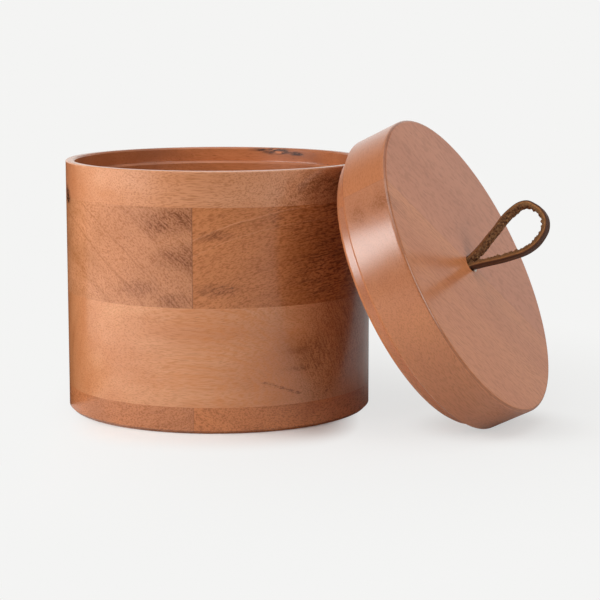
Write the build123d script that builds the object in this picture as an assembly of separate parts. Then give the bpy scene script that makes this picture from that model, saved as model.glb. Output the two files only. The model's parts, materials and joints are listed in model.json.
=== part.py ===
from build123d import *
from math import asin, atan2, cos, degrees, hypot, sin
import os

# A low round storage jar, turned from a block of hardwood boards that was glued up in
# four courses, and its thick rebated lid, which is off and leans on the jar's rim with
# its lower edge on the table. A leather lace runs through the lid as its pull.
# The origin is the centre of the jar's underside, +Z is up, and the lid leans along +X.
# All sizes are in millimetres and degrees.

# The jar's block: its four courses of boards, from the table up
OUTER_DIAMETER = 150.0
BASE_COURSE = 12.5
LOWER_COURSE = 46.8
UPPER_COURSE = 46.8
RIM_COURSE = 16.8
BOARD_TURN = 15.9

# The turned hollow: a plain bore, and a rebate at the mouth that takes the lid's plug
WALL = 8.0
LEDGE = 3.75
MOUTH_DEPTH = 7.0
LEDGE_BEVEL = 1.0
RIM_BEVEL = 0.5
RIM_INNER_BEVEL = 0.8
FOOT_BEVEL = 1.5

# The lid: a flange as wide as the jar, and a plug that drops into the mouth
FLANGE_THICKNESS = 23.5
PLUG_DEPTH = 6.5
PLUG_CLEARANCE = 0.5
LID_TOP_ROUND = 1.5
LID_UNDER_BEVEL = 1.0
PLUG_BEVEL = 1.5
LID_SEAM_TURN = 48.2

# How the lid leans: the rim touches the plug's face this far in from the plug's edge
LEAN_INSET = 4.5
LEAN_CLEARANCE = 0.3

# The leather lace: a flat strip, doubled, through a drilled hole with a knot below
LACE_WIDTH = 4.0
LACE_THICKNESS = 2.5
LACE_TURN = -19.5
HOLE_CLEARANCE = 0.3
HOLE_BEVEL = 0.5
FOLD_CLEARANCE = 0.3

# The loop's centre line above the lid: height over the lid's face, and side reach
LOOP_CORNERS = [(34.0, -18.3), (44.4, -5.6), (37.8, 4.7), (25.8, 6.8)]
LOOP_RADII = [9.2, 7.5, 12.5, 27.5]

# The knot, two flat turns of the lace crossing each other, and the recess that hides it
KNOT_LENGTH = 13.0
KNOT_BREADTH = 9.5
KNOT_CROSSING = 65.0
KNOT_SEAT = 0.3
TAIL_REACH = 4.0
TAIL_LIFT = 1.0
RECESS_ROOM = 5.5
RECESS_HEADROOM = 3.5
RECESS_BEVEL = 0.5

# Worked out from the sizes above
outer_radius = OUTER_DIAMETER / 2
bore_radius = outer_radius - WALL
mouth_radius = bore_radius + LEDGE
body_height = BASE_COURSE + LOWER_COURSE + UPPER_COURSE + RIM_COURSE
ledge_height = body_height - MOUTH_DEPTH
plug_radius = mouth_radius - PLUG_CLEARANCE
hole_radius = hypot(2 * LACE_THICKNESS, LACE_WIDTH) / 2 + HOLE_CLEARANCE
knot_height = 2 * LACE_WIDTH
recess_radius = KNOT_LENGTH / 2 + RECESS_ROOM
recess_depth = knot_height + RECESS_HEADROOM
recess_ceiling = recess_depth - PLUG_DEPTH
fold_height = FLANGE_THICKNESS + LACE_THICKNESS + FOLD_CLEARANCE


def turned(corners, bevels, rounds=()):
    """Revolve a half section about Z. A bevel or a round is a corner and its size."""
    section = make_face(Polyline(*corners, close=True))
    for corner, length in bevels:
        section = chamfer(section.vertices().sort_by_distance(corner)[0], length)
    for corner, radius in rounds:
        section = fillet(section.vertices().sort_by_distance(corner)[0], radius)
    return revolve(Plane.XZ * section, Axis.Z)


def half_of(block, low, high, facing):
    """The half of a turned block that one board fills, between two heights."""
    reach = 2 * outer_radius
    half = Box(reach, 2 * reach, high - low, align=(Align.MIN, Align.CENTER, Align.MIN))
    return block & (Pos(0, 0, low) * Rot(0, 0, facing) * half)


def turned_jar():
    """The whole jar as it comes off the lathe, before it is told apart into boards."""
    corners = [
        (0, 0),
        (outer_radius, 0),
        (outer_radius, body_height),
        (mouth_radius, body_height),
        (mouth_radius, ledge_height),
        (bore_radius, ledge_height),
        (bore_radius, BASE_COURSE),
        (0, BASE_COURSE),
    ]
    bevels = [
        ((outer_radius, 0), FOOT_BEVEL),
        ((outer_radius, body_height), RIM_BEVEL),
        ((mouth_radius, body_height), RIM_INNER_BEVEL),
        ((bore_radius, ledge_height), LEDGE_BEVEL),
    ]
    return turned(corners, bevels)


def jar_boards():
    """Two boards to a course. The grain of each course crosses that of the next."""
    jar = turned_jar()
    courses = [
        ("base", BASE_COURSE, ("right", "left"), BOARD_TURN),
        ("lower", LOWER_COURSE, ("back", "front"), BOARD_TURN + 90),
        ("upper", UPPER_COURSE, ("right", "left"), BOARD_TURN),
        ("rim", RIM_COURSE, ("back", "front"), BOARD_TURN + 90),
    ]
    boards = {}
    low = 0.0
    for course, height, sides, facing in courses:
        for side, turn in zip(sides, (facing, facing + 180)):
            boards[f"{course}_board_{side}"] = half_of(jar, low, low + height, turn)
        low += height
    return boards


def lid_boards():
    """The lid lying flat: Z is its axis, and the underside of its flange is at zero."""
    corners = [
        (hole_radius, FLANGE_THICKNESS),
        (outer_radius, FLANGE_THICKNESS),
        (outer_radius, 0),
        (plug_radius, 0),
        (plug_radius, -PLUG_DEPTH),
        (recess_radius, -PLUG_DEPTH),
        (recess_radius, recess_ceiling),
        (hole_radius, recess_ceiling),
    ]
    bevels = [
        ((hole_radius, FLANGE_THICKNESS), HOLE_BEVEL),
        ((outer_radius, 0), LID_UNDER_BEVEL),
        ((plug_radius, -PLUG_DEPTH), PLUG_BEVEL),
        ((recess_radius, -PLUG_DEPTH), RECESS_BEVEL),
    ]
    rounds = [((outer_radius, FLANGE_THICKNESS), LID_TOP_ROUND)]
    lid = turned(corners, bevels, rounds)
    return {
        "lid_board_upper": half_of(lid, -PLUG_DEPTH, FLANGE_THICKNESS, LID_SEAM_TURN + 90),
        "lid_board_lower": half_of(lid, -PLUG_DEPTH, FLANGE_THICKNESS, LID_SEAM_TURN - 90),
    }


def lace_plane():
    """The plane that the loop lies in: x is its side reach, y its height."""
    side = Vector(1, 0, 0).rotate(Axis.Z, LACE_TURN)
    return Plane(origin=(0, 0, 0), x_dir=side, z_dir=side.cross(Vector(0, 0, 1)))


def pull_loop():
    """The doubled lace above the lid. Its foot is round, so that it can fold over."""
    points = [(-LACE_THICKNESS / 2, fold_height)]
    points += [(reach, FLANGE_THICKNESS + height) for height, reach in LOOP_CORNERS]
    points += [(LACE_THICKNESS / 2, fold_height)]
    centre_line = FilletPolyline(*points, radius=LOOP_RADII)
    band = trace(centre_line, LACE_THICKNESS)
    foot = Pos(0, fold_height) * Circle(LACE_THICKNESS)
    return extrude(lace_plane() * (band + foot), LACE_WIDTH / 2, both=True)


def pull_knot():
    """The lace's tails down the hole, the two turns that stop them, and their ends."""
    knot_top = recess_ceiling - KNOT_SEAT
    knot_base = knot_top - knot_height
    tails = Pos(0, 0, FLANGE_THICKNESS) * Box(
        2 * LACE_THICKNESS,
        LACE_WIDTH,
        FLANGE_THICKNESS - knot_base,
        align=(Align.CENTER, Align.CENTER, Align.MAX),
    )
    turn = extrude(SlotOverall(KNOT_LENGTH, KNOT_BREADTH), LACE_WIDTH)
    lower_turn = Pos(0, 0, knot_base) * turn
    upper_turn = Pos(0, 0, knot_base + LACE_WIDTH) * Rot(0, 0, KNOT_CROSSING) * turn
    ends = Pos(0, 0, knot_base + TAIL_LIFT) * Box(
        KNOT_LENGTH + 2 * TAIL_REACH,
        LACE_WIDTH,
        LACE_THICKNESS,
        align=(Align.CENTER, Align.CENTER, Align.MIN),
    )
    return Rot(0, 0, LACE_TURN) * (tails + lower_turn + upper_turn + ends)


def lean_tilt():
    """How far the lid's axis tilts from upright, in radians, when its plug's face lies
    on the bevelled rim and its flange's lower edge stands on the table."""
    along = outer_radius + plug_radius - LEAN_INSET
    across = LID_UNDER_BEVEL + PLUG_DEPTH + LEAN_CLEARANCE
    rise = body_height - RIM_BEVEL
    return asin(rise / hypot(along, across)) + atan2(across, along)


def leaning_plane():
    """Where the flange's underside is when the lid leans on the jar. Its x is downhill."""
    tilt = lean_tilt()
    rim_z = body_height - RIM_BEVEL
    plug_face = outer_radius * sin(tilt) + rim_z * cos(tilt) + LEAN_CLEARANCE
    flange_face = plug_face + PLUG_DEPTH
    centre_z = outer_radius * sin(tilt) - LID_UNDER_BEVEL * cos(tilt)
    centre_x = (flange_face - centre_z * cos(tilt)) / sin(tilt)
    downhill = (cos(tilt), 0, -sin(tilt))
    axis = (sin(tilt), 0, cos(tilt))
    return Plane(origin=(centre_x, 0, centre_z), x_dir=downhill, z_dir=axis)


def leaning_pieces():
    """The lid and its pull, made lying flat and then leaned on the jar."""
    flat = lid_boards()
    flat["pull_loop"] = pull_loop()
    flat["pull_knot"] = pull_knot()
    place = leaning_plane().location
    return {name: place * piece for name, piece in flat.items()}


os.makedirs("parts", exist_ok=True)
pieces = jar_boards() | leaning_pieces()
for name, piece in pieces.items():
    export_step(piece, f"parts/{name}.step")
    print(f"{name}: {piece.volume / 1000:.1f} cm3")

lean_place = leaning_plane()
fold_point = lean_place.from_local_coords((0, 0, fold_height))
fold_axis = lean_place.from_local_coords(Vector(0, 1, 0).rotate(Axis.Z, LACE_TURN)) - lean_place.origin
print(f"height of the jar's body: {body_height:.1f}, mouth radius {mouth_radius:.2f}")
print(f"the lid leans {degrees(lean_tilt()):.2f} degrees from upright")
print(f"lid's axis: {lean_place.z_dir}, from {lean_place.origin}")
print(f"loop folds at {fold_point}, about {fold_axis}")
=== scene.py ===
# %% [markdown]
# # A turned wooden storage jar and its leaning lid
# The jar was turned on a lathe from a block of reddish boards, glued up in four courses
# whose grain crosses from one course to the next. The boards come from the CAD frame and
# stay as they are. This script gives them their wood, makes the leather lace that pulls
# the lid, and sets up the camera, the lamps and the table. First the frame is loaded.

import json
from math import cos, hypot, radians, sin

import bpy
from mathutils import Matrix, Vector


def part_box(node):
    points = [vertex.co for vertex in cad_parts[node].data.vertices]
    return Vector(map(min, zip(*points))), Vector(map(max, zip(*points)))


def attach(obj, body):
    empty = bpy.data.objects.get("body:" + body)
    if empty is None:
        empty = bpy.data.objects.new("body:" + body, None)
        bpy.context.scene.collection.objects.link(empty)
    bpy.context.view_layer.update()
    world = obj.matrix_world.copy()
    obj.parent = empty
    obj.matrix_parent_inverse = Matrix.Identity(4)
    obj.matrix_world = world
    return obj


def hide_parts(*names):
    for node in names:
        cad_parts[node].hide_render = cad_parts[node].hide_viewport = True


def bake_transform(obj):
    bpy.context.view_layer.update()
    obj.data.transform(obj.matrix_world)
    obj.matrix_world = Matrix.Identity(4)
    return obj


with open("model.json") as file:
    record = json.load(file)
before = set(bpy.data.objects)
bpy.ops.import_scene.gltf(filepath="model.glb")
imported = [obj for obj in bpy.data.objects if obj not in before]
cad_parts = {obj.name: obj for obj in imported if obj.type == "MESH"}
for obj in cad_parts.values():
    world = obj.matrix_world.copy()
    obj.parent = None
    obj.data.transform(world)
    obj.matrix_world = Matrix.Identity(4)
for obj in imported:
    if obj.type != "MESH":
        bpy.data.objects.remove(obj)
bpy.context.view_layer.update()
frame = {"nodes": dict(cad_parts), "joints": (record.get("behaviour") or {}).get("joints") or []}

# %% [markdown]
# ## Where things are
# Two places carry everything else. The jar stands on the origin with its axis upright.
# The lid has a frame of its own: its axis, the way downhill on it, and the middle of its
# face, where the lace comes out. They are read from the joints and the lid's vertices,
# so that nothing has to be typed twice.

# %% Read the lid's own frame
MM = 0.001
joints = {joint["name"]: joint for joint in frame["joints"]}
lid_axis = Vector(joints["lid_lift"]["axis"]).normalized()
lid_side = Vector((0, 1, 0))
downhill = lid_side.cross(lid_axis)
lid_base = Vector(joints["pull_turn"]["pos_m"])
flange = max((v.co - lid_base).dot(lid_axis) for v in frame["nodes"]["lid_board_upper"].data.vertices)
lid_face = lid_base + lid_axis * flange
jar_radius = max(hypot(v.co.x, v.co.y) for v in frame["nodes"]["lower_board_front"].data.vertices)
jar_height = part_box("rim_board_front")[1].z
print(f"jar {jar_radius / MM:.1f} mm in radius, {jar_height / MM:.1f} mm high; flange {flange / MM:.1f} mm")


def on_jar(azimuth, height, radius=jar_radius / MM):
    """A point on the jar's wall, by its compass angle in degrees and height in mm."""
    turn = radians(azimuth)
    return Vector((radius * cos(turn), radius * sin(turn), height)) * MM


def on_lid(downhill_mm, side_mm, height_mm=0.0):
    """A point by the lid's own frame: along its face, and above it."""
    return lid_face + (downhill * downhill_mm + lid_side * side_mm + lid_axis * height_mm) * MM


# %% [markdown]
# ## The camera
# The photographer stood a metre off and used a long lens, so that the round jar hardly
# narrows with distance. The camera comes before any finish. Turns are in degrees, lens
# and sensor in millimetres.

# %% Place the camera
CAMERA_PLACE = Vector((0.41690, -0.88310, 0.20289))
CAMERA_TURN = 22.89
CAMERA_DROP = 8.80
CAMERA_ROLL = 0.02
LENS = 118.4
SENSOR = 36.0
bpy.ops.object.select_all(action="DESELECT")
bpy.ops.object.camera_add(location=CAMERA_PLACE)
camera = bpy.context.object
camera.name = "camera"
camera.rotation_euler = (radians(90 - CAMERA_DROP), radians(CAMERA_ROLL), radians(CAMERA_TURN))
camera.data.sensor_width = SENSOR
camera.data.lens = LENS
camera.data.clip_end = 20.0
bpy.context.scene.camera = camera
bpy.context.scene.view_settings.view_transform = "Standard"
print("camera stands", round(CAMERA_PLACE.length, 3), "m from the jar's foot")

# %% [markdown]
# ## Helpers for every finish
# Colours are written as sRGB hex values, as a paint card gives them, and a shader wants
# them linear. A node tree is built with one small function, which adds a node, sets it
# and links it. A value that is another node stands for that node's first output. A third
# helper starts an empty material.


# %% Helpers for colours and nodes
def colour(hex_value):
    """An sRGB hex value as the linear colour that a shader socket wants."""
    parts = [int(hex_value[i:i + 2], 16) / 255 for i in (1, 3, 5)]
    linear = [p / 12.92 if p <= 0.04045 else ((p + 0.055) / 1.055) ** 2.4 for p in parts]
    return (*linear, 1.0)


def add(tree, kind, inputs=None, **settings):
    """Add one node, with its settings and with its inputs set or linked."""
    node = tree.nodes.new("ShaderNode" + kind)
    for name, value in settings.items():
        setattr(node, name, value)
    for socket, value in (inputs or {}).items():
        if isinstance(value, bpy.types.Node):
            value = value.outputs[0]
        if isinstance(value, bpy.types.NodeSocket):
            tree.links.new(value, node.inputs[socket])
        else:
            node.inputs[socket].default_value = value
    return node


def new_material(name):
    """An empty material, and its node tree ready for a finish."""
    material = bpy.data.materials.new(name)
    material.use_nodes = True
    material.node_tree.nodes.clear()
    return material, material.node_tree


print("a mid brown in linear light:", [round(c, 3) for c in colour("#B5794F")])

# %% [markdown]
# ## Mahogany, sawn into boards
# The wood looks like mahogany: reddish brown, with open pores that show as short dark
# dashes along the grain and as specks on end grain, and a soft line at each growth ring.
# A flat picture of wood would show the same face on every side. So the finish is solid:
# each board has a place in a log, with its grain, its heart and its rings, and a turned
# surface cuts through it as the lathe did. Specks and dashes then come by themselves,
# where the wall cuts across the grain or along it. The first step turns each board with
# its grain, takes it from its own part of a log, and lets the grain wander a little.

# %% Lay a board in its log
LOG_STEP = (237, 123, 61)
WANDER_MM = (90, 28, 28)


def pattern_scale(sizes):
    """The Mapping scale that makes one cell of a pattern as large as these sizes."""
    return tuple(1 / size for size in sizes)


def lay_in_log(tree, grain, upright, seed):
    """A board's own frame in mm, X along its grain and Z upright, in its part of a log."""
    across = upright.cross(grain).normalized()
    turned = Matrix((grain, across, grain.cross(across))).transposed().to_euler()
    place = add(tree, "TexCoord")
    board = add(tree, "Mapping", {"Vector": place.outputs["Object"], "Rotation": turned,
                "Scale": (MM, MM, MM)}, vector_type="TEXTURE")
    log_part = tuple(seed * step for step in LOG_STEP)
    log = add(tree, "VectorMath", {0: board, 1: log_part}, operation="ADD")

    # Where the grain wanders, rings and ribbons aren't ruled lines
    slow = add(tree, "Mapping", {"Vector": log, "Scale": pattern_scale(WANDER_MM)})
    wander = add(tree, "TexNoise", {"Vector": slow, "Scale": 1.0, "Detail": 3.0, "Roughness": 0.45})
    uneven = add(tree, "VectorMath", {0: wander.outputs["Color"], 1: (0.5, 0.5, 0.5)}, operation="SUBTRACT")
    return dict(point=place.outputs["Object"], normal=place.outputs["Normal"], turned=turned,
                board=board, log=log, wander=wander, uneven=uneven)


print("a log's grain wanders over lengths of", WANDER_MM, "mm")

# %% [markdown]
# ## Out from the heart
# A tree grows in rings about its heart, and everything in its wood follows them. So each
# point is also measured in three ways that a forester would use: along the grain, out
# from the heart, and round the rings. The heart may lie far outside the board.


# %% Measure from the log's heart
def measure_from_heart(tree, spot, heart, drift):
    """Add to a spot how far it is from the heart, and its place by grain, ring and turn."""
    wavy = add(tree, "VectorMath", {0: spot["uneven"], 1: (0, 2 * drift, 2 * drift), 2: spot["board"]},
               operation="MULTIPLY_ADD")
    from_heart = add(tree, "VectorMath", {0: wavy, 1: (0, *heart)}, operation="SUBTRACT")
    depth = hypot(*heart)
    inward = (0, -heart[0] / depth, -heart[1] / depth)
    sideways = (0, heart[1] / depth, -heart[0] / depth)
    ahead = add(tree, "VectorMath", {0: from_heart, 1: inward}, operation="DOT_PRODUCT").outputs["Value"]
    aside = add(tree, "VectorMath", {0: from_heart, 1: sideways}, operation="DOT_PRODUCT").outputs["Value"]
    flat = add(tree, "VectorMath", {0: from_heart, 1: (0, 1, 1)}, operation="MULTIPLY")
    radius = add(tree, "VectorMath", {0: flat}, operation="LENGTH").outputs["Value"]
    turn = add(tree, "Math", {0: aside, 1: ahead}, operation="ARCTAN2")
    along_ring = add(tree, "Math", {0: turn, 1: depth}, operation="MULTIPLY")
    along = add(tree, "SeparateXYZ", {0: spot["log"]}).outputs["X"]
    in_log = add(tree, "CombineXYZ", {"X": along, "Y": radius, "Z": along_ring})
    spot.update(radius=radius, in_log=in_log)


print("a point in the wood is measured along, out and round")

# %% [markdown]
# ## The figure of the wood
# Five things make up what a cabinet maker calls the figure: growth rings, broad ribbons
# where the grain leans to and fro, narrower streaks, hair-thin fibres, and the open pores.
# Each is a noise stretched along the grain. Its sizes are in millimetres: along the
# grain, out from the heart, and round the rings. The real vessels are about 0.2 mm wide,
# too fine to show at this distance, so the pores are drawn about 0.5 mm wide.

# %% Draw the figure
RIBBON_MM = (150, 17, 17)
STREAK_MM = (34, 0.95, 8)
FIBRE_MM = (6, 0.65, 1.0)
VESSEL_MM = (6, 1.1, 1.1)


def draw_figure(tree, spot, ring):
    """Rings, ribbons, streaks, fibres and pores, each as a number from 0 to 1."""
    year = add(tree, "Math", {0: spot["radius"], 1: 1 / ring}, operation="MULTIPLY")
    years = add(tree, "TexNoise", {"W": year, "Scale": 1.0, "Detail": 4.0, "Roughness": 0.72},
                noise_dimensions="1D")
    late = add(tree, "MapRange", {"Value": years.outputs[0], "From Min": 0.48, "From Max": 0.64})

    broad = add(tree, "Mapping", {"Vector": spot["log"], "Scale": pattern_scale(RIBBON_MM)})
    ribbon = add(tree, "TexNoise", {"Vector": broad, "Scale": 1.0, "Detail": 3.0, "Roughness": 0.55})
    narrow = add(tree, "Mapping", {"Vector": spot["in_log"], "Scale": pattern_scale(STREAK_MM)})
    streak = add(tree, "TexNoise", {"Vector": narrow, "Scale": 1.0, "Detail": 3.0, "Roughness": 0.6})
    thin = add(tree, "Mapping", {"Vector": spot["in_log"], "Scale": pattern_scale(FIBRE_MM)})
    fibre = add(tree, "TexNoise", {"Vector": thin, "Scale": 1.0, "Detail": 2.0, "Roughness": 0.6})
    feather = add(tree, "Math", {0: streak, 1: fibre}, operation="ADD")
    feather = add(tree, "MapRange", {"Value": feather, "From Min": 0.88, "From Max": 1.18, "To Min": 0.25})

    # A pore sits in the middle of each cell, and about a third of the cells have one
    vessel = add(tree, "Mapping", {"Vector": spot["in_log"], "Scale": pattern_scale(VESSEL_MM)})
    cells = add(tree, "TexVoronoi", {"Vector": vessel, "Scale": 1.0})
    dot = add(tree, "MapRange", {"Value": cells.outputs["Distance"], "From Min": 0.10, "From Max": 0.34,
              "To Min": 1.0, "To Max": 0.0}, interpolation_type="SMOOTHSTEP")
    chance = add(tree, "SeparateColor", {"Color": cells.outputs["Color"]})
    open_ones = add(tree, "MapRange", {"Value": chance, "From Min": 0.55, "From Max": 0.75})
    pore = add(tree, "Math", {0: dot, 1: open_ones}, operation="MULTIPLY")
    return dict(late=late, ribbon=ribbon, streak=streak, fibre=fibre, feather=feather, pore=pore)


print("streaks", STREAK_MM, "mm, fibres", FIBRE_MM, "mm, pores", VESSEL_MM, "mm apart")

# %% [markdown]
# ## The wood's own colour
# A board has a light and a dark tone, which the ribbons mix, and a third tone where it is
# cut across: end grain drinks more finish and so turns darker. Rings show there most.
# Streaks and fibres darken it a little more, as thin glazes do, one over the other.

# %% Colour the figure
RING_BROWN = "#84440C"
FIBRE_BROWN = "#8E4A0C"
STREAK_DEPTH = 0.3
END_DEPTH = 0.8
RINGS_ON_SIDES = 0.2


def wood_tone(tree, spot, figure, grain, tones, stripes, speckle):
    """The board's colour before its marks. Stripes and speckle are how strong they show."""
    facing = add(tree, "VectorMath", {0: spot["normal"], 1: tuple(grain)}, operation="DOT_PRODUCT")
    ended = add(tree, "Math", {0: facing.outputs["Value"]}, operation="ABSOLUTE")
    end = add(tree, "MapRange", {"Value": ended, "From Min": 0.60, "From Max": 0.97},
              interpolation_type="SMOOTHSTEP")

    light, dark, end_tone = (colour(tone) for tone in tones)
    blend = add(tree, "MapRange", {"Value": figure["ribbon"], "From Min": 0.33, "From Max": 0.67})
    tone = add(tree, "Mix", {0: blend, 6: light, 7: dark}, data_type="RGBA").outputs[2]
    drunk = add(tree, "Math", {0: end, 1: END_DEPTH}, operation="MULTIPLY")
    tone = add(tree, "Mix", {0: drunk, 6: tone, 7: end_tone}, data_type="RGBA").outputs[2]

    patches = add(tree, "MapRange", {"Value": spot["wander"], "From Min": 0.32, "From Max": 0.58,
                  "To Min": 0.2})
    ringed = add(tree, "Math", {0: figure["late"], 1: patches}, operation="MULTIPLY")
    ringed = add(tree, "Math", {0: ringed, 1: figure["feather"]}, operation="MULTIPLY")
    at_end = add(tree, "MapRange", {"Value": end, "To Min": RINGS_ON_SIDES * stripes, "To Max": stripes})
    ringed = add(tree, "Math", {0: ringed, 1: at_end}, operation="MULTIPLY")
    tone = add(tree, "Mix", {0: ringed, 6: tone, 7: colour(RING_BROWN)}, data_type="RGBA").outputs[2]

    streaky = add(tree, "MapRange", {"Value": figure["streak"], "From Min": 0.50, "From Max": 0.72,
                  "To Max": STREAK_DEPTH})
    tone = add(tree, "Mix", {0: streaky, 6: tone, 7: dark}, data_type="RGBA").outputs[2]
    hairy = add(tree, "MapRange", {"Value": figure["fibre"], "From Min": 0.46, "From Max": 0.66,
                "To Max": speckle})
    return add(tree, "Mix", {0: hairy, 6: tone, 7: colour(FIBRE_BROWN)}, data_type="RGBA").outputs[2]


print("end grain takes", END_DEPTH, "of its own tone")

# %% [markdown]
# ## Marks in the wood
# A real board has marks of its own, which make it that board and no other. The first are
# single rings that stand out. A ring line is a thin shell about the log's heart, so it
# curves through the board as a real ring does, and the streaks break it up.


# %% Draw ring lines
def draw_ring_lines(tree, tone, spot, figure, lines):
    """Each line is its distance from the heart and its half width in mm, its depth and its tone."""
    for ring_radius, wide, amount, line_tone in lines:
        off = add(tree, "Math", {0: spot["radius"], 1: ring_radius}, operation="SUBTRACT")
        off = add(tree, "Math", {0: off}, operation="ABSOLUTE")
        line = add(tree, "MapRange", {"Value": off, "From Min": 0.0, "From Max": wide, "To Min": amount,
                   "To Max": 0.0}, interpolation_type="SMOOTHSTEP")
        broken = add(tree, "MapRange", {"Value": figure["streak"], "From Min": 0.35, "From Max": 0.55,
                     "To Min": 0.4})
        line = add(tree, "Math", {0: line, 1: broken}, operation="MULTIPLY")
        tone = add(tree, "Mix", {0: line, 6: tone, 7: colour(line_tone)}, data_type="RGBA").outputs[2]
    return tone


print("a ring line is a thin shell about the heart")

# %% [markdown]
# ## Stains and knots
# A stain is an ellipsoid in the board's frame with a ragged edge, so it goes into the wood
# as a real one does, and streaks and fibres feather it. Small dark ones serve as knots and
# as the open dots of a crack, and long thin ones as the crack itself.

# %% Stain the wood
RAGGED = 1.2


def stain_wood(tree, tone, spot, figure, stains):
    """Each stain is its place, its reach along, across and up in mm, its depth and its tone."""
    for centre, reach, amount, stain_tone in stains:
        away = add(tree, "VectorMath", {0: spot["point"], 1: tuple(centre)}, operation="SUBTRACT")
        away = add(tree, "Mapping", {"Vector": away, "Rotation": spot["turned"],
                   "Scale": tuple(r * MM for r in reach)}, vector_type="TEXTURE")
        away = add(tree, "VectorMath", {0: spot["uneven"], 1: (RAGGED, RAGGED, RAGGED), 2: away},
                   operation="MULTIPLY_ADD")
        away = add(tree, "VectorMath", {0: away}, operation="LENGTH").outputs["Value"]
        stain = add(tree, "MapRange", {"Value": away, "From Min": 0.2, "From Max": 1.0, "To Min": amount,
                    "To Max": 0.0}, interpolation_type="SMOOTHSTEP")
        stain = add(tree, "Math", {0: stain, 1: figure["feather"]}, operation="MULTIPLY")
        tone = add(tree, "Mix", {0: stain, 6: tone, 7: colour(stain_tone)}, data_type="RGBA").outputs[2]
    return tone


print("a stain goes into the wood, with a ragged edge")

# %% [markdown]
# ## Glue lines
# Where two boards meet, the squeezed glue shows as a thin dark line. It is a slab about
# the glued face, which is solid near the face and then fades into the wood.

# %% Draw a glue line
GLUE_BROWN = "#4A2412"
GLUE_HALF_WIDTH = 0.15 * MM
GLUE_FADED = 0.40 * MM


def draw_glue(tree, tone, spot, seam):
    """A seam is a point of the glued face, the way the face looks, and the line's depth."""
    point, normal, amount = seam
    off = add(tree, "VectorMath", {0: spot["point"], 1: tuple(point)}, operation="SUBTRACT")
    off = add(tree, "VectorMath", {0: off, 1: tuple(normal)}, operation="DOT_PRODUCT").outputs["Value"]
    off = add(tree, "Math", {0: off}, operation="ABSOLUTE")
    glue = add(tree, "MapRange", {"Value": off, "From Min": GLUE_HALF_WIDTH, "From Max": GLUE_FADED,
               "To Min": amount, "To Max": 0.0})
    return add(tree, "Mix", {0: glue, 6: tone, 7: colour(GLUE_BROWN)}, data_type="RGBA").outputs[2]


print("a glue line is", round(2 * GLUE_HALF_WIDTH / MM, 2), "mm wide")

# %% [markdown]
# ## The lid's arris, with painted shade
# The edge between the lid's side and its face is a bevel. Its colour is darkened there as
# painted shade, so that it doesn't show as a bright line. The bevel is found by its slope:
# its normal leans half way between the side's and the face's.

# %% Paint shade on the arris
ARRIS_SHADE_BROWN = "#5A2C10"
ARRIS_SLOPE = 0.7
ARRIS_SPREAD = 0.25


def shade_arris(tree, tone, spot, upright, arris):
    """Paint shade on the bevel that looks half way up."""
    rise = add(tree, "VectorMath", {0: spot["normal"], 1: tuple(upright)}, operation="DOT_PRODUCT")
    # This mask picks out the bevel for its painted shade
    rubbed = add(tree, "Math", {0: rise.outputs["Value"], 1: ARRIS_SLOPE, 2: ARRIS_SPREAD},
                 operation="COMPARE")
    rubbed = add(tree, "Math", {0: rubbed, 1: arris}, operation="MULTIPLY")
    return add(tree, "Mix", {0: rubbed, 6: tone, 7: colour(ARRIS_SHADE_BROWN)}, data_type="RGBA").outputs[2]


print("the arris is where the slope is within", ARRIS_SPREAD, "of", ARRIS_SLOPE)

# %% [markdown]
# ## The lacquer, and a whole board
# A rubbed lacquer lies over the wood. The wood below is dull, and the film on top has a
# satin shine that blurs what it mirrors. Its IOR is a little over a real lacquer's 1.5,
# because the photograph's highlights are strong. The film sinks into pores and fibres,
# which breaks the highlight up, so one bump serves both layers.

# %% Finish one board
PORE_BROWN = "#6A3208"
PIT_DEPTH = 0.05 * MM
LACQUER_IOR = 1.7
LACQUER_ROUGHNESS = 0.22


def sawn_board(name, grain, upright, heart, tones, ring=6.5, drift=5.0, stripes=0.4, speckle=0.3,
               pores=0.4, arris=0.0, lines=(), stains=(), seam=None, seed=0):
    """One board's finish.

    Heart is where the log's heart lay, ring is a year's growth and drift is how far the
    grain wanders, all in mm. Stripes, speckle and pores are how strong they show, and arris
    is how strong the painted shade on the lid's arris is.
    """
    material, tree = new_material(name)
    grain = grain.normalized()
    spot = lay_in_log(tree, grain, upright, seed)
    measure_from_heart(tree, spot, heart, drift)
    figure = draw_figure(tree, spot, ring)
    tone = wood_tone(tree, spot, figure, grain, tones, stripes, speckle)
    tone = draw_ring_lines(tree, tone, spot, figure, lines)
    tone = stain_wood(tree, tone, spot, figure, stains)
    dotted = add(tree, "Math", {0: figure["pore"], 1: pores}, operation="MULTIPLY")
    tone = add(tree, "Mix", {0: dotted, 6: tone, 7: colour(PORE_BROWN)}, data_type="RGBA").outputs[2]
    # Painted shade on the lid's arris, so that the bevel shows no bright line
    if arris:
        tone = shade_arris(tree, tone, spot, upright, arris)
    if seam:
        tone = draw_glue(tree, tone, spot, seam)
    rough = add(tree, "Math", {0: figure["fibre"], 1: 0.5, 2: figure["pore"]}, operation="MULTIPLY_ADD")
    pits = add(tree, "Bump", {"Strength": 0.3, "Distance": PIT_DEPTH, "Height": rough}, invert=True)
    finish = add(tree, "BsdfPrincipled", {"Base Color": tone, "Roughness": 0.5, "Normal": pits,
                 "Specular IOR Level": 0.1, "Coat Weight": 1.0, "Coat IOR": LACQUER_IOR,
                 "Coat Roughness": LACQUER_ROUGHNESS, "Coat Normal": pits})
    add(tree, "OutputMaterial", {"Surface": finish})
    return material


print("a rubbed lacquer of roughness", LACQUER_ROUGHNESS, "over every board")

# %% [markdown]
# ## Dress the boards by name
# Each CAD board is given its own wood by its name, so that no two look alike. A board is
# written down as a few facts, much as a sawmill would note them, and the finish above
# does the rest.


# %% Give each board its wood
def dress(boards):
    """Give each named CAD board its wood."""
    for name, wood in boards.items():
        board = frame["nodes"][name]
        board.data.materials.clear()
        board.data.materials.append(sawn_board("mahogany_" + name, **wood))


print("one finish makes every board")
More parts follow.
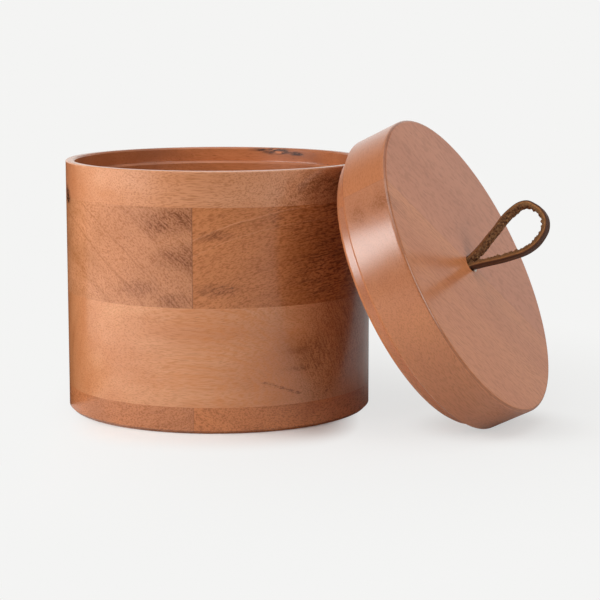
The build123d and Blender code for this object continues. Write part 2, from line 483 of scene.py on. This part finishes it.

# %% [markdown]
# ## Where the jar's boards lie, and their marks
# The base and the upper wall course have their grain front to back, so that the front
# shows end grain, and the lower wall course and the rim run across. A broken crack runs
# low on the right, as a faint line with a few open dots, and a small patch of painted
# shade crosses the glue line at the jar's far left edge.

# %% The jar's grain, glue lines, crack and painted shade
JAR_SEAM = -74.1
INNER_RADIUS = 70.7
RING_PALE = "#DE9C70"
STAIN_BROWN = "#74380A"
# Painted shade, where the leaning lid shades the jar's right side
PAINTED_SHADE_BROWN = "#5A2408"
UP = Vector((0, 0, 1))
front_back = Vector((cos(radians(JAR_SEAM)), sin(radians(JAR_SEAM)), 0))
left_right = UP.cross(front_back)
glue_line = (Vector((0, 0, 0)), left_right, 0.4)
base_glue = (Vector((0, 0, 0)), left_right, 0.25)
# Painted shade: a small dark patch at the jar's far left edge
left_edge_painted_shade = (on_jar(-142, 107.5), (9, 9, 6.5), 1.6, "#3E1804")


def along_crack(step):
    """A point on the crack, which falls to the right."""
    return on_jar(-48.2 + 1.75 * step, 23.6 - 0.8 * step)


crack = [(along_crack(step), (3.4, 3, 0.6), 0.8, "#84461C") for step in range(9)]
crack += [(along_crack(step), (1.8, 3, 0.8), 0.8, "#6A3010") for step in (0, 3.8, 5.8, 7.3)]
print("the crack is", round((along_crack(8) - along_crack(0)).length / MM, 1), "mm long")

# %% [markdown]
# ## The rim and the base
# The rim's back board has a dark knot just inside the mouth, with a paler middle. It is
# made of three flat dark stains and a small light one. The rim's front board darkens
# towards the right: partly a brown stain in the wood, partly painted shade where the
# leaning lid shades it.

# %% Wood for the rim and the base
dress({
    "rim_board_front": dict(
        grain=left_right, upright=UP, heart=(-70, 190), seed=1, stripes=0.25, speckle=0.45, pores=0.25,
        tones=("#D89A72", "#C88458", "#B87046"),
        # The large dark stain at the right is partly a brown stain and partly painted shade of the lid
        stains=[(on_jar(-22, 112), (40, 40, 12), 0.9, "#6A3410"), left_edge_painted_shade]),
    "rim_board_back": dict(
        grain=left_right, upright=UP, heart=(40, 60), seed=2,
        tones=("#C87A4C", "#A05A32", "#9A5632"),
        stains=[(on_jar(89, 121.2, INNER_RADIUS), (11, 9, 2.6), 1.5, "#2A120A"),
                (on_jar(97, 121.6, INNER_RADIUS), (8, 9, 1.4), 1.5, "#3A1A0E"),
                (on_jar(80, 120.2, INNER_RADIUS), (6, 9, 1.6), 1.5, "#3A1A0E"),
                (on_jar(88.5, 120.6, INNER_RADIUS), (3, 9, 1.1), 1.6, "#C87848")]),
    "base_board_left": dict(
        grain=front_back, upright=UP, heart=(-60, 120), seed=7, stripes=0.5, speckle=0.7,
        tones=("#C87C4E", "#A4643E", "#BE764A"), seam=base_glue),
    "base_board_right": dict(
        grain=front_back, upright=UP, heart=(60, 110), seed=8, stripes=0.8, speckle=0.7,
        tones=("#D88650", "#B86A3A", "#C87842"), seam=base_glue),
})
print("wood on the rim and the base")

# %% [markdown]
# ## The two wall courses
# The upper course shows end grain at the front. Its left board has rings that slope, and
# dark patches beside the glue line. Its right board has one pale ring with a dark edge,
# and painted shade at the right, where the leaning lid shades it. The lower course shows
# long grain, lighter at the left and stained at the right, with painted shade of the lid
# at the far right.

# %% Wood for the walls
dress({
    "upper_board_left": dict(
        grain=front_back, upright=UP, heart=(-230, -130), seed=3, ring=5.0, drift=3.0, stripes=0.7,
        speckle=0.55, tones=("#CE8C62", "#B4764C", "#C28058"), seam=glue_line,
        lines=[(279.8, 0.9, 0.35, RING_BROWN), (291.3, 0.7, 0.35, RING_BROWN)],
        stains=[(on_jar(-80, 101), (60, 26, 11), 1.0, STAIN_BROWN), left_edge_painted_shade,
                (on_jar(-78, 82), (60, 18, 8), 0.9, STAIN_BROWN),
                (on_jar(-95, 67), (60, 16, 6), 0.6, STAIN_BROWN),
                (on_jar(-80, 62), (60, 11, 5), 0.7, STAIN_BROWN)]),
    "upper_board_right": dict(
        grain=front_back, upright=UP, heart=(70, -55), seed=4, drift=1.5, stripes=0.45, speckle=0.65,
        tones=("#CA7E4C", "#AE6836", "#C67A46"), seam=glue_line,
        lines=[(161.6, 0.5, 0.40, RING_PALE), (160.7, 0.7, 0.3, RING_BROWN), (155.0, 0.5, 0.2, RING_PALE)],
        stains=[(on_jar(-60.1, 68.9), (20, 0.9, 0.7), 1.8, "#3A1C0A"),
                (on_jar(-66, 93), (60, 14, 3.5), 0.8, STAIN_BROWN),
                (on_jar(-66, 68), (60, 14, 5), 0.8, STAIN_BROWN),
                # Painted shade of the leaning lid
                (on_jar(-22, 85), (70, 34, 60), 0.9, PAINTED_SHADE_BROWN)]),
    "lower_board_front": dict(
        grain=left_right, upright=UP, heart=(-120, 10), seed=5, stripes=0.35, speckle=0.36, pores=0.25,
        tones=("#D8986C", "#C88256", "#BA7648"),
        stains=[(on_jar(-31, 36), (20, 24, 13), 0.5, "#5A300C"),
                (on_jar(-36, 37.7), (6, 20, 2.5), 0.5, "#4A260C"),
                (on_jar(-33, 29), (14, 20, 2.0), 0.6, "#5A300C"),
                (on_jar(-56, 36), (56, 34, 60), 0.6, "#D07C3C"),
                # Painted shade of the leaning lid
                (on_jar(-15, 45), (40, 34, 60), 0.5, PAINTED_SHADE_BROWN),
                (on_jar(-21.6, 16.6), (1.3, 3, 0.8), 0.8, "#5A2C14"), *crack]),
    "lower_board_back": dict(
        grain=left_right, upright=UP, heart=(80, -90), seed=6,
        tones=("#CC7E4C", "#AA6436", "#9E5430")),
})
print("wood on the walls, glued along the line at", JAR_SEAM, "degrees")

# %% [markdown]
# ## The lid's two boards
# The lid is two thick boards glued edge to edge, with the grain along the glue line. The
# face is flat sawn and a little pinker than the jar. The turned edge shows long grain
# where it runs beside the glue line and end grain where it crosses it. The glue line
# itself hardly shows.

# %% Give the lid its wood
LID_SEAM = 48.2
lid_grain = downhill * cos(radians(LID_SEAM)) + lid_side * sin(radians(LID_SEAM))
lid_across = lid_axis.cross(lid_grain)
lid_glue = (lid_face, lid_across, 0.1)
dress({
    "lid_board_upper": dict(
        grain=lid_grain, upright=lid_axis, heart=(30, -110), seed=9, stripes=0.1, speckle=0.28,
        pores=0.2, arris=0.4, tones=("#CE825A", "#C67A52", "#B46C3C"), seam=lid_glue),
    "lid_board_lower": dict(
        grain=lid_grain, upright=lid_axis, heart=(-34, 88), seed=10, stripes=0.2, speckle=0.32,
        pores=0.2, arris=0.4, tones=("#D68858", "#CC7E52", "#A86A48"), seam=lid_glue,
        stains=[(on_lid(-41.0, -62.8, -16.0), (30, 8.0, 6), 0.7, RING_BROWN),
                (on_lid(-42.0, -62.2, -4.0), (30, 8.0, 8), 0.7, RING_BROWN)]),
})
print("wood on the lid, its seam turned", LID_SEAM, "degrees from downhill")

# %% [markdown]
# ## The leather lace
# The pull is one flat lace, cut from thick hide. Its outer side is the dark grain side,
# its inner side is rough flesh with loose fibres, and its cut edges are tan. It could be
# a curve with a profile, but then the rough side would be as smooth as the rest. So it is
# made as a leather worker makes it: a straight strap is cut first, its arrises are eased
# and its flesh side is roughened, and only then is it bent along its route. Each point
# keeps its place on the straight strap as an attribute, for the finish to follow.


# %% Select the edges that run one way
def edges_along(piece, axis):
    """Select the long edges along one axis, stay in edit mode, and return the longest."""
    bpy.ops.object.select_all(action="DESELECT")
    piece.select_set(True)
    bpy.context.view_layer.objects.active = piece
    bpy.ops.object.mode_set(mode="EDIT")
    bpy.ops.mesh.select_mode(type="EDGE")
    bpy.ops.mesh.select_all(action="DESELECT")
    bpy.ops.object.mode_set(mode="OBJECT")
    spans = []
    for edge in piece.data.edges:
        a, b = (piece.data.vertices[i].co for i in edge.vertices)
        step = b - a
        along = step.length > 0 and abs(step[axis]) > 0.999 * step.length
        spans.append(step.length if along else 0.0)
    longest = max(spans)
    for edge, span in zip(piece.data.edges, spans):
        edge.select = span > 0.6 * longest
    bpy.ops.object.mode_set(mode="EDIT")
    return longest


print("edges are chosen by the way they run, not by their numbers")


# %% [markdown]
# ## Cut a straight strap
# The strap starts as a cube of the lace's size. Its long edges are bevelled, as an edge
# tool eases them, and it is then divided finely enough to carry the rough side. The
# operator makes at most 100 cuts in an edge, so the length is divided in two steps.

# %% Cut a straight strap
EASED = 0.4 * MM


def straight_strap(name, length, width, thickness):
    """A strap along X, its width on Z, and its flesh side towards minus Y."""
    bpy.ops.object.select_all(action="DESELECT")
    bpy.ops.mesh.primitive_cube_add(size=1, location=(length / 2, 0, 0), scale=(length, thickness, width))
    strap = bpy.context.object
    strap.name = name
    bpy.ops.object.transform_apply(location=True, rotation=True, scale=True)
    edges_along(strap, 0)
    bpy.ops.mesh.bevel(offset=EASED, segments=3, affect="EDGES")
    bpy.ops.object.mode_set(mode="OBJECT")
    # Twice along the length, then across the width, then through the thickness
    for axis, step in ((0, length / 10), (0, 0.5 * MM), (2, 0.35 * MM), (1, 0.4 * MM)):
        span = edges_along(strap, axis)
        bpy.ops.mesh.subdivide(number_cuts=max(1, round(span / step)))
        bpy.ops.object.mode_set(mode="OBJECT")
    place = strap.data.attributes.new("lace_place", "FLOAT_VECTOR", "POINT")
    place.data.foreach_set("vector", [c / MM for v in strap.data.vertices for c in v.co])
    return strap


print("the strap's arrises are eased by", EASED / MM, "mm")

# %% [markdown]
# ## Roughen the flesh side
# Two clouds of noise push the flesh side in and out: coarse tufts first, then fibres. Both
# are drawn coarser than real ones, because those would be too fine to show.

# %% Roughen the flesh side
TUFTS = (1.6 * MM, 2.0 * MM)
FIBRES = (0.5 * MM, 1.0 * MM)
FLESH_DEPTH = 0.3
NAP_LEVEL = 0.35


def roughen_flesh(strap, thickness, rough):
    """Raise tufts and then fibres on the side towards minus Y, by their size and height."""
    flesh = strap.vertex_groups.new(name="flesh")
    inner = [v.index for v in strap.data.vertices if v.co.y < -FLESH_DEPTH * thickness]
    flesh.add(inner, 1.0, "REPLACE")
    for scale, strength in (TUFTS, FIBRES):
        fuzz = bpy.data.textures.new(strap.name + "_fuzz", "CLOUDS")
        fuzz.noise_scale = scale
        fuzz.noise_depth = 2
        nap = strap.modifiers.new("nap", "DISPLACE")
        nap.texture = fuzz
        nap.texture_coords = "LOCAL"
        nap.direction = "Y"
        nap.vertex_group = "flesh"
        nap.mid_level = NAP_LEVEL
        nap.strength = -strength * rough
        bpy.ops.object.modifier_apply(modifier="nap")


print(f"the flesh side gets tufts {TUFTS[0] / MM:.1f} mm and fibres {FIBRES[0] / MM:.1f} mm wide")


# %% [markdown]
# ## Bend the strap along its route
# The route is a drawn curve that goes up one leg, round the loop and down the other leg.
# Its tilt at each point turns the strap about its own line. A curve modifier bends the
# strap along it, and the pieces are then carried into the lid's own frame.


# %% Bend a strap along a route
def bent_strap(name, route, width, thickness, rough, onto):
    """A strap that follows a route of (x, y, z, tilt) points in mm and degrees."""
    bpy.ops.object.select_all(action="DESELECT")
    bpy.ops.curve.primitive_bezier_curve_add()
    guide = bpy.context.object
    spline = guide.data.splines[0]
    spline.bezier_points.add(len(route) - len(spline.bezier_points))
    for point, (x, y, z, tilt) in zip(spline.bezier_points, route):
        point.co = Vector((x, y, z)) * MM
        point.handle_left_type = point.handle_right_type = "AUTO"
        point.tilt = radians(tilt)
    guide.data.dimensions = "3D"
    guide.data.twist_mode = "Z_UP"
    guide.data.resolution_u = 24
    strap = straight_strap(name, spline.calc_length(), width, thickness)
    roughen_flesh(strap, thickness, rough)
    bend = strap.modifiers.new("bend", "CURVE")
    bend.object = guide
    bpy.ops.object.modifier_apply(modifier="bend")
    bpy.data.objects.remove(guide)
    strap.matrix_world = onto
    bpy.ops.object.select_all(action="DESELECT")
    strap.select_set(True)
    bpy.context.view_layer.objects.active = strap
    bpy.ops.object.transform_apply(location=True, rotation=True, scale=True)
    bpy.ops.object.shade_smooth()
    return strap


print("a strap is bent only after it is cut and roughened")

# %% [markdown]
# ## The loop
# The loop's route is flat: side reach and height over the lid's face, in millimetres,
# from one end of the lace to the other. The leg on the uphill side is twisted, so that it
# shows its rough inside, and the whole loop is turned about the lid's axis.

# %% Bend the loop
LACE_WIDTH = 4.0 * MM
LACE_THICKNESS = 2.45 * MM
LACE_TURN = radians(-19.5)
lace_across = downhill * cos(LACE_TURN) + lid_side * sin(LACE_TURN)
lace_flat = lid_axis.cross(lace_across)
loop_frame = (Matrix.Translation(lid_face)
              @ Matrix((lace_across, lid_axis, -lace_flat)).transposed().to_4x4())
loop_route = [
    (-1.25, -24.6, 0, 0), (-1.25, -12.0, 0, 0), (-1.25, -3.0, 0, -8),
    (-2.2, 1.8, 0, -28), (-9.0, 16.1, 0, -44), (-14.6, 27.0, 0, -36), (-15.3, 35.2, 0, -18),
    (-12.2, 39.1, 0, -10), (-7.8, 41.7, 0, -4), (-1.7, 41.5, 0, -1), (3.0, 37.4, 0, 1), (5.8, 30.3, 0, 4),
    (5.3, 20.0, 0, 8), (2.1, 3.0, 0, 12), (1.25, -3.0, 0, 3), (1.25, -12.0, 0, 0), (1.25, -22.6, 0, 0),
    (2.2, -27.2, 0, 0), (5.5, -28.2, 0, 0), (10.2, -28.0, 0, 0),
]
loop = bent_strap("leather_loop", loop_route, LACE_WIDTH, LACE_THICKNESS, 1.0, loop_frame)
print("the loop has", len(loop.data.polygons), "faces")

# %% [markdown]
# ## The stopper knot
# Under the lid, in a recess bored in the plug, the lace is wound twice round its own legs
# and its end is left sticking out. Between the first turn and the second the coil climbs
# by the lace's width, so that one lies on the other, and swings round to cross it, as it
# has to in a knot. The coil's measures are in millimetres, its angles in degrees.

# %% Wind the stopper knot
COIL_LONG = 5.25
COIL_SHORT = 3.5
COIL_LOW = -24.8
COIL_RISE = 4.0
COIL_TURNS = 2.0
COIL_CROSSING = 65.0
COIL_START = -80
RISE_FROM = 0.4
CROSS_FROM = 0.75
POINTS_A_TURN = 8
knot_frame = (Matrix.Translation(lid_face)
              @ Matrix((lace_across, lace_flat, lid_axis)).transposed().to_4x4())
knot_route = [(-10.2, -4.6, COIL_LOW, 0), (-4.5, -4.2, COIL_LOW, 0)]
for step in range(int(COIL_TURNS * POINTS_A_TURN) - 1):
    around = step / POINTS_A_TURN
    climb = COIL_LOW + COIL_RISE * min(1.0, max(0.0, around - RISE_FROM))
    angle = radians(360 * around + COIL_START)
    skew = radians(COIL_CROSSING * min(1.0, max(0.0, (around - CROSS_FROM) * 2)))
    x = COIL_LONG * cos(angle)
    y = COIL_SHORT * sin(angle)
    knot_route.append((x * cos(skew) - y * sin(skew), x * sin(skew) + y * cos(skew), climb, 0))
knot = bent_strap("leather_knot", knot_route, LACE_WIDTH, LACE_THICKNESS, 0.6, knot_frame)
print("the knot has", len(knot.data.polygons), "faces")

# %% [markdown]
# ## Oiled leather
# Vegetable tanned hide, dyed from both sides and oiled. The flesh side is matt and
# mottled, and the grain side is darkest and has a low shine. A cut edge is tan and dark
# towards the grain side, and a pale band in its middle is a painted highlight. So its
# shades are given by their place, and a colour ramp passes from one to the next.

# %% Shades by their place
GRAIN_SIDE = "#50301F"
WORN_EDGE = "#5F4029"
NAP_SHADES = ((0.36, "#442814"), (0.5, "#80583A"), (0.68, "#B48656"))
# The palest stop, at 0.56, is a painted highlight along the cut edge; the rest are the dye
EDGE_SHADES_AND_HIGHLIGHT = ((0.0, "#7C5A3A"), (0.35, "#94683F"), (0.56, "#BC8450"), (0.68, "#8A5A38"),
               (0.86, "#4C2E24"), (1.0, "#432818"))


def shade_by(tree, value, shades):
    """A colour that changes with a value, through shades at named positions."""
    ramp = add(tree, "ValToRGB", {"Fac": value})
    ends = ramp.color_ramp.elements
    for end, (position, shade) in zip(ends, (shades[0], shades[-1])):
        end.position = position
        end.color = colour(shade)
    for position, shade in shades[1:-1]:
        ends.new(position).color = colour(shade)
    return ramp


print("leather with", len(EDGE_SHADES_AND_HIGHLIGHT), "shades across its cut edge")

# %% [markdown]
# ## Leather that knows its sides
# The finish asks each point where it lay on the straight strap, whatever the bend has done
# to it since: low Y is flesh, high Y is grain, and what lies between is the cut edge.


# %% The leather's finish
def oiled_leather(name):
    """Leather that knows its flesh side, its cut edges and its grain side."""
    material, tree = new_material(name)
    where = add(tree, "Attribute", attribute_name="lace_place").outputs["Vector"]
    parts = add(tree, "SeparateXYZ", {0: where})
    mottle = add(tree, "TexNoise", {"Vector": where, "Scale": 0.9, "Detail": 4.0, "Roughness": 0.7})
    threads = add(tree, "Mapping", {"Vector": where, "Scale": (0.7, 2.2, 2.2)})
    fibre = add(tree, "TexNoise", {"Vector": threads, "Scale": 1.0, "Detail": 3.0})
    nap = shade_by(tree, mottle, NAP_SHADES)

    # Across the cut edge, from the flesh side to the grain side
    depth = add(tree, "MapRange", {"Value": parts.outputs["Y"], "From Min": -1.2, "From Max": 1.2})
    section = shade_by(tree, depth, EDGE_SHADES_AND_HIGHLIGHT)
    worn = add(tree, "MapRange", {"Value": fibre, "From Min": 0.4, "From Max": 0.7, "To Max": 0.5})
    section = add(tree, "Mix", {0: worn, 6: section, 7: colour(WORN_EDGE)}, data_type="RGBA").outputs[2]
    flesh = add(tree, "MapRange", {"Value": parts.outputs["Y"], "From Min": -0.7, "From Max": -1.0})
    shade = add(tree, "Mix", {0: flesh, 6: section, 7: nap}, data_type="RGBA").outputs[2]
    grain = add(tree, "MapRange", {"Value": parts.outputs["Y"], "From Min": 0.85, "From Max": 1.1})
    shade = add(tree, "Mix", {0: grain, 6: shade, 7: colour(GRAIN_SIDE)}, data_type="RGBA").outputs[2]
    bump = add(tree, "Bump", {"Strength": 0.6, "Distance": 0.2 * MM, "Height": mottle})
    gloss = add(tree, "MapRange", {"Value": grain, "To Min": 0.9, "To Max": 0.45})
    finish = add(tree, "BsdfPrincipled", {"Base Color": shade, "Roughness": gloss, "Normal": bump,
                 "Specular IOR Level": 0.35})
    add(tree, "OutputMaterial", {"Surface": finish})
    return material


print("the finish tells flesh, cut edge and grain side apart")

# %% [markdown]
# ## Hang the lace on the lid
# The loop and the knot stand for the plain bands of the CAD model. The knot turns with
# its own body, and the loop stays where it is.

# %% Dress the lace
leather = oiled_leather("oiled_leather")
for piece, node in ((loop, "pull_loop"), (knot, "pull_knot")):
    piece.data.materials.clear()
    piece.data.materials.append(leather)
    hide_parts(node)
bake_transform(loop)
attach(knot, "knot")

# %% [markdown]
# ## A drop of glue
# A tiny bead of dried glue sits on the lid's face just below the hole. It is only two
# millimetres across, a sphere pressed flat and half sunk. Dried white glue is off-white,
# a little translucent and no shinier than the lacquer, so a plain pale finish does.

# %% Leave the drop of glue
BEAD_RADIUS = 1.0 * MM
bpy.ops.object.select_all(action="DESELECT")
bpy.ops.mesh.primitive_uv_sphere_add(segments=20, ring_count=12, radius=BEAD_RADIUS)
bead = bpy.context.object
bead.name = "glue_bead"
bead.scale = (1.0, 0.9, 0.75)
bead.rotation_euler = lid_axis.to_track_quat("Z", "Y").to_euler()
bead.location = on_lid(3.7, 1.3, 0.2)
bpy.ops.object.transform_apply(location=True, rotation=True, scale=True)
bpy.ops.object.shade_smooth()
dried, tree = new_material("dried_glue")
drop = add(tree, "BsdfPrincipled", {"Base Color": colour("#F6F1E6"), "Roughness": 0.4})
add(tree, "OutputMaterial", {"Surface": drop})
bead.data.materials.append(dried)
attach(bead, "lid")
print("a drop of glue", 2 * BEAD_RADIUS / MM, "mm across")

# %% [markdown]
# ## The table
# The jar stands on a white paper sweep. Paper is matt, so it takes a soft shadow and
# mirrors nothing. The photograph's paper is so brightly lit that it is plain white with
# hardly a shadow. So the sweep is made of two things, real paper and plain white, and
# the steps below mix them for the camera.

# %% The white sweep
BACKDROP = "#F4F4F3"
PAPER_SEEN = "#E8E7E5"
PAPER_LIT = "#C6C5C3"
bpy.ops.object.select_all(action="DESELECT")
bpy.ops.mesh.primitive_plane_add(size=16, location=(0, 0, 0))
floor = bpy.context.object
floor.name = "white_sweep"
sweep, tree = new_material("white_paper_sweep")
rays = add(tree, "LightPath")
bright = add(tree, "Mix", {0: rays.outputs["Is Camera Ray"], 6: colour(PAPER_LIT), 7: colour(PAPER_SEEN)},
             data_type="RGBA").outputs[2]
paper = add(tree, "BsdfDiffuse", {"Color": bright})
plain = add(tree, "Emission", {"Color": colour(BACKDROP), "Strength": 1.0})
place = add(tree, "TexCoord").outputs["Object"]
print("a sweep", round(floor.dimensions.x), "m across")

# %% [markdown]
# ## Where the paper shows
# The camera sees all paper just in front of the jar's foot, where the photograph has its
# one dark shadow, half paper under the lid's lower edge, and a little near by. These
# places are found by distances in metres from the jar's axis and from the lid's foot, and
# by how far to the camera's right a point lies.

# %% Paper by the jar and by the lid
RIGHTWARDS = (0.921, 0.389, 0.0)
LID_FOOT = (0.150, 0.0, 0.0)
FAINT = 0.22
from_jar = add(tree, "VectorMath", {0: place}, operation="LENGTH").outputs["Value"]
by_foot = add(tree, "MapRange", {"Value": from_jar, "From Min": 0.084, "From Max": 0.115, "To Min": 1.0,
              "To Max": FAINT}, interpolation_type="SMOOTHSTEP")
rightwards = add(tree, "VectorMath", {0: place, 1: RIGHTWARDS}, operation="DOT_PRODUCT").outputs["Value"]
aside = add(tree, "Math", {0: rightwards}, operation="ABSOLUTE")
in_front = add(tree, "MapRange", {"Value": aside, "From Min": 0.045, "From Max": 0.080, "To Min": 1.0,
               "To Max": 0.0}, interpolation_type="SMOOTHSTEP")
by_foot = add(tree, "Math", {0: by_foot, 1: in_front}, operation="MULTIPLY")
from_lid = add(tree, "VectorMath", {0: place, 1: LID_FOOT}, operation="DISTANCE").outputs["Value"]
by_lid = add(tree, "MapRange", {"Value": from_lid, "From Min": 0.015, "From Max": 0.05, "To Min": 0.5,
             "To Max": FAINT}, interpolation_type="SMOOTHSTEP")
papery = add(tree, "Math", {0: by_foot, 1: by_lid}, operation="MAXIMUM")
print("paper shows at the jar's foot and at the lid's")

# %% [markdown]
# ## Where the sweep turns white
# The paper fades out with distance, and at the left, where the photograph's light washes
# the shadow out. Rays that aren't the camera's meet paper everywhere, so the sweep lights
# the jar from below as real paper does.

# %% Fade the paper and finish the sweep
fade = add(tree, "MapRange", {"Value": from_jar, "From Min": 0.10, "From Max": 0.32, "To Min": 1.0,
           "To Max": 0.0}, interpolation_type="SMOOTHSTEP")
papery = add(tree, "Math", {0: papery, 1: fade}, operation="MULTIPLY")
washed = add(tree, "MapRange", {"Value": rightwards, "From Min": -0.090, "From Max": -0.055},
             interpolation_type="SMOOTHSTEP")
papery = add(tree, "Math", {0: papery, 1: washed}, operation="MULTIPLY")
hidden = add(tree, "Math", {0: 1.0, 1: rays.outputs["Is Camera Ray"]}, operation="SUBTRACT")
papery = add(tree, "Math", {0: papery, 1: hidden}, operation="MAXIMUM")
both = add(tree, "MixShader", {0: papery, 1: plain, 2: paper})
add(tree, "OutputMaterial", {"Surface": both})
floor.data.materials.append(sweep)
print("a white sweep under the jar")

# %% [markdown]
# ## The lamps
# One wide softbox low at the left makes the broad sheen on the jar and the highlight on
# the lid's edge. Another, twice as far off at the right, opens the lid's face, and a third
# from above fills the rest. All three are large for their distance, so shadows are soft.

# %% Three softboxes
LOOK_AT = Vector((0.05, 0, 0.07))


def softbox(name, azimuth, elevation, distance, width, height, power):
    """A soft lamp that looks at the jar, placed by compass angle, height angle and distance."""
    turn = radians(azimuth)
    rise = radians(elevation)
    place = LOOK_AT + Vector((cos(turn) * cos(rise), sin(turn) * cos(rise), sin(rise))) * distance
    bpy.ops.object.select_all(action="DESELECT")
    bpy.ops.object.light_add(type="AREA", location=place)
    lamp = bpy.context.object
    lamp.name = name
    lamp.data.shape = "RECTANGLE"
    lamp.data.size = width
    lamp.data.size_y = height
    lamp.data.energy = power
    lamp.rotation_euler = (place - LOOK_AT).to_track_quat("Z", "Y").to_euler()
    return lamp


softbox("key_left", azimuth=221.0, elevation=19.0, distance=0.52, width=0.46, height=0.25, power=2.3)
softbox("right_fill", azimuth=-12.0, elevation=22.0, distance=1.0, width=0.50, height=0.50, power=2.75)
softbox("top_fill", azimuth=-50.0, elevation=68.0, distance=1.2, width=1.2, height=0.8, power=4.0)
print("three softboxes")

# %% [markdown]
# ## The black cards
# A photographer puts black felt beside a shiny thing, to give its edge something dark to
# mirror. One card stands behind the jar at the left and one lies beside it. They take
# part in reflections only, so they cast no shadow and the camera doesn't see them.

# %% Two black cards
felt, tree = new_material("black_felt")
add(tree, "OutputMaterial", {"Surface": add(tree, "BsdfDiffuse", {"Color": colour("#101010")})})


def black_card(name, place, rotation, size):
    """A flat card that only reflections see."""
    bpy.ops.object.select_all(action="DESELECT")
    bpy.ops.mesh.primitive_plane_add(size=1, location=place)
    card = bpy.context.object
    card.name = name
    card.scale = (*size, 1)
    card.rotation_euler = rotation
    bpy.ops.object.transform_apply(location=True, rotation=True, scale=True)
    card.data.materials.append(felt)
    card.visible_camera = False
    card.visible_diffuse = False
    card.visible_shadow = False
    card.visible_transmission = False


CARD_LOOKS = Vector((0.80, -0.60, 0.0))
black_card("standing_card", (-0.150, 0.090, 0.0625), CARD_LOOKS.to_track_quat("Z", "Y").to_euler(),
           (0.36, 0.125))
black_card("lying_card", (-0.122, 0.020, 0.0006), (0, 0, radians(-37)), (0.16, 0.30))
print("two black cards")

# %% [markdown]
# ## The white room
# The camera sees a plain white backdrop. The lacquer sees a dim room with a brighter
# ceiling and a bright backdrop beyond the jar, which gives the lid's face its pale veil.
# Everything else is lit by a weak, even light from all sides.

# %% The room's light
BEYOND_JAR = (-0.43, 0.90, 0.0)
ROOM_LIGHT = 0.32
ROOM_SHEEN = 0.14
CEILING_SHEEN = 0.7
world = bpy.data.worlds.new("white_room")
bpy.context.scene.world = world
world.use_nodes = True
tree = world.node_tree
tree.nodes.clear()
rays = add(tree, "LightPath")
way = add(tree, "TexCoord").outputs["Generated"]
height = add(tree, "SeparateXYZ", {0: way}).outputs["Z"]
overhead = add(tree, "MapRange", {"Value": height, "From Min": 0.60, "From Max": 0.90,
               "To Min": ROOM_SHEEN, "To Max": CEILING_SHEEN})
ahead = add(tree, "VectorMath", {0: way, 1: BEYOND_JAR}, operation="DOT_PRODUCT").outputs["Value"]
backdrop = add(tree, "MapRange", {"Value": ahead, "From Min": 0.50, "From Max": 0.95})
sheen = add(tree, "Math", {0: overhead, 1: backdrop}, operation="MAXIMUM")
ambient = add(tree, "Background", {"Color": colour("#FFFFFF"), "Strength": ROOM_LIGHT})
mirror = add(tree, "Background", {"Color": colour(BACKDROP), "Strength": sheen})
white = add(tree, "Background", {"Color": colour(BACKDROP), "Strength": 1.0})
lit = add(tree, "MixShader", {0: rays.outputs["Is Glossy Ray"], 1: ambient, 2: mirror})
shown = add(tree, "Math", {0: rays.outputs["Is Camera Ray"], 1: rays.outputs["Is Transmission Ray"]},
            operation="MAXIMUM")
both = add(tree, "MixShader", {0: shown, 1: lit, 2: white})
add(tree, "OutputWorld", {"Surface": both})
print("a white room, its even light at", ROOM_LIGHT)

# %% [markdown]
# ## Finish
# The view layer is brought up to date.

# %% Finish
bpy.context.view_layer.update()
